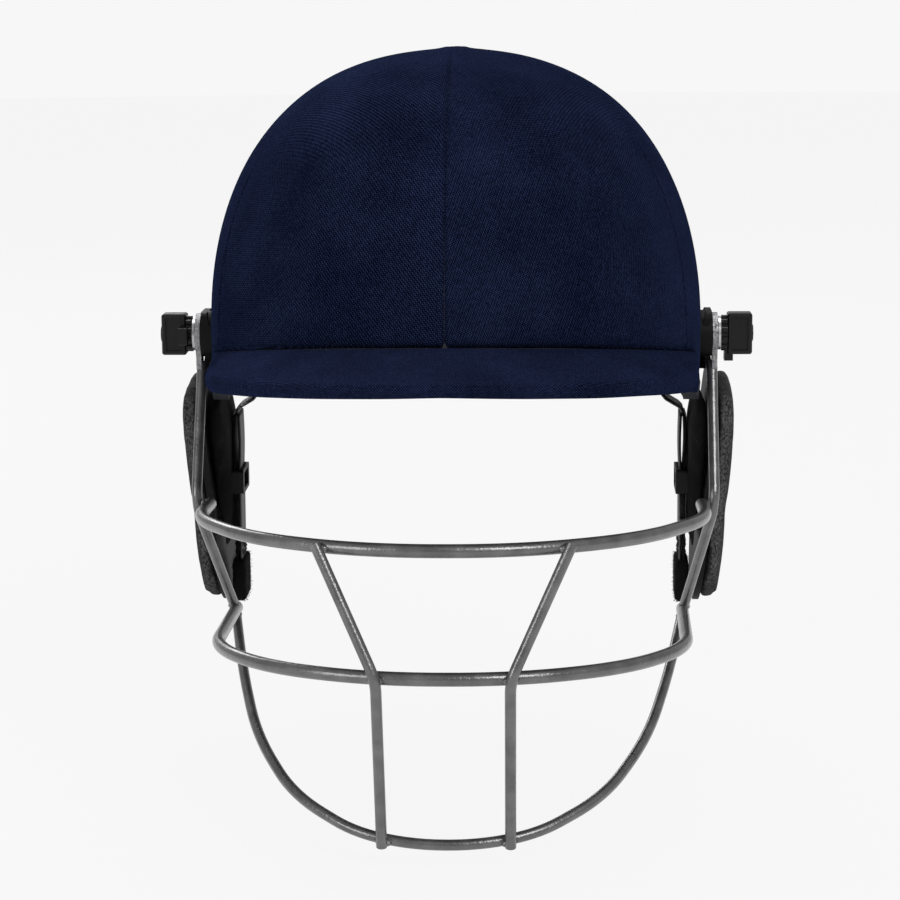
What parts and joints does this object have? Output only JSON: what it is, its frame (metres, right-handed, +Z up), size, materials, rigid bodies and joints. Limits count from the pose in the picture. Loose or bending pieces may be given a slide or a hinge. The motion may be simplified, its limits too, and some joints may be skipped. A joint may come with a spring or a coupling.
{
  "type": "cricket helmet",
  "caption": "Cloth-covered domed sports helmet with a peak, a hinged wire face grille on thumb screws, padded ear guards and open chin straps.",
  "frame": {"origin": "mid-plane, on the line through the two thumb screws that hold the grille, inside the head space", "axes": "+Z up as worn, the face looks along -Y, +X is the wearer's left"},
  "size_m": [0.248, 0.2935, 0.2995],
  "materials": {
    "navy_cloth": "fine matt weave",
    "moulded_wall": "satin moulded",
    "peak_plastic": "satin moulded",
    "trim_rubber": "matt",
    "liner_foam": "dense foam",
    "pad_fabric": "soft brushed knit",
    "grey_fabric": "heathered knit",
    "guard_plastic": "moulded",
    "insert_brass": "turned",
    "zinc_steel": "plated",
    "black_steel": "blackened",
    "plate_steel": "rough plated",
    "coated_wire": "grey coat, semi-gloss",
    "knob_plastic": "glossy black",
    "strap_webbing": "woven webbing",
    "tab_pile": "fuzzy loop pile"
  },
  "bodies": {
    "helmet": {"outer_wall": "moulded_wall", "cloth_cover_left": "navy_cloth", "cloth_cover_right": "navy_cloth", "peak_core": "peak_plastic", "peak_cloth": "navy_cloth", "peak_screws": "zinc_steel", "edge_trim": "trim_rubber", "foam_liner": "liner_foam", "brow_pad": "pad_fabric", "crown_pad": "pad_fabric", "nape_pad": "pad_fabric", "side_pad_left": "pad_fabric", "side_pad_right": "pad_fabric", "threaded_insert_left": "insert_brass", "threaded_insert_right": "insert_brass", "ear_guard_plate_left": "guard_plastic", "ear_guard_plate_right": "guard_plastic", "ear_outer_pad_left": "grey_fabric", "ear_outer_pad_right": "grey_fabric", "ear_inner_pad_left": "pad_fabric", "ear_inner_pad_right": "pad_fabric", "strap_rivet_left": "zinc_steel", "strap_rivet_right": "zinc_steel", "strap_collar_left": "guard_plastic", "strap_collar_right": "guard_plastic"},
    "grille": {"top_bar": "coated_wire", "middle_bar": "coated_wire", "chin_bar": "coated_wire", "pivot_plate_left": "plate_steel", "pivot_plate_right": "plate_steel", "side_wire_left": "coated_wire", "side_wire_right": "coated_wire", "grille_strut_left": "coated_wire", "grille_strut_right": "coated_wire"},
    "washer_left": {"clamp_washer_left": "zinc_steel"},
    "knob_left": {"thumb_knob_left": "knob_plastic", "thumb_screw_left": "black_steel"},
    "strap_left": {"chin_strap_left": "strap_webbing", "strap_tab_left": "tab_pile", "strap_eyelet_left": "zinc_steel"},
    "slider_left": {"strap_slider_left": "knob_plastic"},
    "washer_right": {"clamp_washer_right": "zinc_steel"},
    "knob_right": {"thumb_knob_right": "knob_plastic", "thumb_screw_right": "black_steel"},
    "strap_right": {"chin_strap_right": "strap_webbing", "strap_tab_right": "tab_pile", "strap_eyelet_right": "zinc_steel"},
    "slider_right": {"strap_slider_right": "knob_plastic"}
  },
  "joints": [
    {"name": "grille_tilt", "type": "hinge", "parent": "helmet", "child": "grille", "pos_m": [0, 0, 0], "axis": [-1, 0, 0], "range_deg": [-3, 15]},
    {"name": "washer_slide_left", "type": "slide", "parent": "helmet", "child": "washer_left", "axis": [1, 0, 0], "range_m": [0, 0.003]},
    {"name": "knob_turn_left", "type": "hinge", "parent": "washer_left", "child": "knob_left", "pos_m": [0.115, 0, 0], "axis": [1, 0, 0], "range_deg": [0, 1080]},
    {"name": "strap_swing_left", "type": "hinge", "parent": "helmet", "child": "strap_left", "pos_m": [0.09, 0.034, -0.014], "axis": [1, 0, 0], "range_deg": [-1.5, 20]},
    {"name": "slider_slide_left", "type": "slide", "parent": "strap_left", "child": "slider_left", "axis": [0, 0, 1], "range_m": [-0.02, 0.02]},
    {"name": "washer_slide_right", "type": "slide", "parent": "helmet", "child": "washer_right", "axis": [-1, 0, 0], "range_m": [0, 0.003]},
    {"name": "knob_turn_right", "type": "hinge", "parent": "washer_right", "child": "knob_right", "pos_m": [-0.115, 0, 0], "axis": [-1, 0, 0], "range_deg": [0, 1080]},
    {"name": "strap_swing_right", "type": "hinge", "parent": "helmet", "child": "strap_right", "pos_m": [-0.09, 0.034, -0.014], "axis": [1, 0, 0], "range_deg": [-1.5, 20]},
    {"name": "slider_slide_right", "type": "slide", "parent": "strap_right", "child": "slider_right", "axis": [0, 0, 1], "range_m": [-0.02, 0.02]}
  ],
  "couplings": [
    {"joint": "knob_turn_left", "follows": "washer_slide_left", "rad_per_m": 6283.2},
    {"joint": "knob_turn_right", "follows": "washer_slide_right", "rad_per_m": 6283.2}
  ]
}
